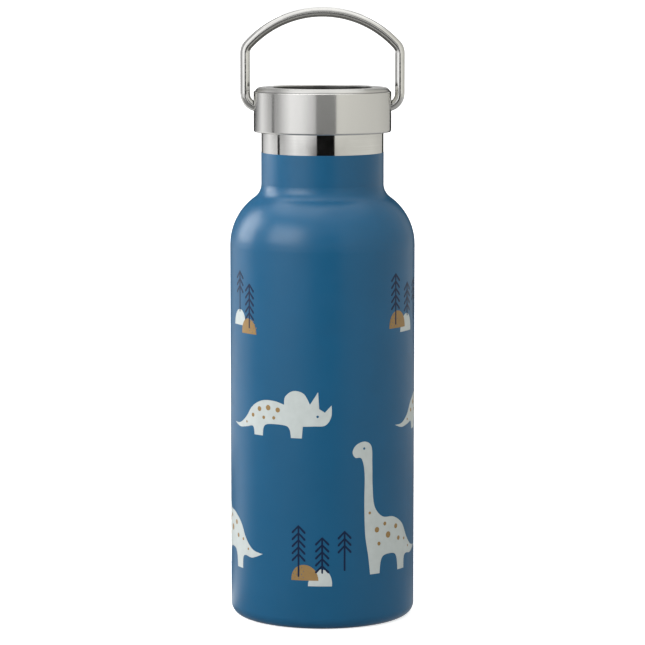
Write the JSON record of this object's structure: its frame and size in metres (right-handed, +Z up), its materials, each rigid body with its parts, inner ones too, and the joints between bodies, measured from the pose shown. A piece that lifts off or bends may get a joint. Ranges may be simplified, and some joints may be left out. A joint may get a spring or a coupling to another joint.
{
  "type": "insulated drinking bottle",
  "caption": "Slim double-walled steel drinking bottle with a rounded shoulder, a narrow neck, a steel-clad screw lid and an arched wire bail handle.",
  "frame": {"origin": "centre of the circle that the bottle stands on, at floor height", "axes": "+Z up the bottle's axis, X along the handle's pivot, so the open face of the handle looks along -Y and +Y"},
  "size_m": [0.073, 0.073, 0.2412],
  "materials": {
    "polished_steel": "polished",
    "brushed_steel": "satin",
    "plain_steel": "satin",
    "blue_powder_coat": "satin",
    "lid_plastic": "satin",
    "bush_nylon": "satin",
    "gasket_silicone": "matte",
    "foam": "matte",
    "solder_glass": "gloss",
    "getter_metal": "matte",
    "print_white": "satin",
    "print_ochre": "satin",
    "print_navy": "satin"
  },
  "bodies": {
    "bottle": {"outer_shell": "polished_steel", "powder_coat": "blue_powder_coat", "outer_base": "plain_steel", "vacuum_seal": "solder_glass", "base_cover": "plain_steel", "inner_vessel": "plain_steel", "inner_base": "plain_steel", "getter_pellet": "getter_metal", "getter_clip": "plain_steel"},
    "gasket": {"sealing_gasket": "gasket_silicone"},
    "cap": {"cap_sleeve": "brushed_steel", "cap_top_plate": "brushed_steel", "cap_body": "lid_plastic", "cap_plug": "lid_plastic", "plug_disc": "plain_steel", "plug_foam": "foam", "bail_bush_left": "bush_nylon", "bail_bush_right": "bush_nylon"},
    "handle": {"bail_handle": "polished_steel"}
  },
  "joints": [
    {"name": "cap_lift", "type": "slide", "parent": "bottle", "child": "gasket", "axis": [0, 0, 1], "range_m": [0, 0.02]},
    {"name": "cap_turn", "type": "hinge", "parent": "gasket", "child": "cap", "pos_m": [0, 0, 0.1977], "axis": [0, 0, 1], "range_deg": [0, 1800]},
    {"name": "handle_swing", "type": "hinge", "parent": "cap", "child": "handle", "pos_m": [0, 0, 0.2022], "axis": [1, 0, 0], "range_deg": [-130, 130]}
  ],
  "couplings": [
    {"joint": "cap_lift", "follows": "cap_turn", "m_per_rad": 0.00063662}
  ]
}
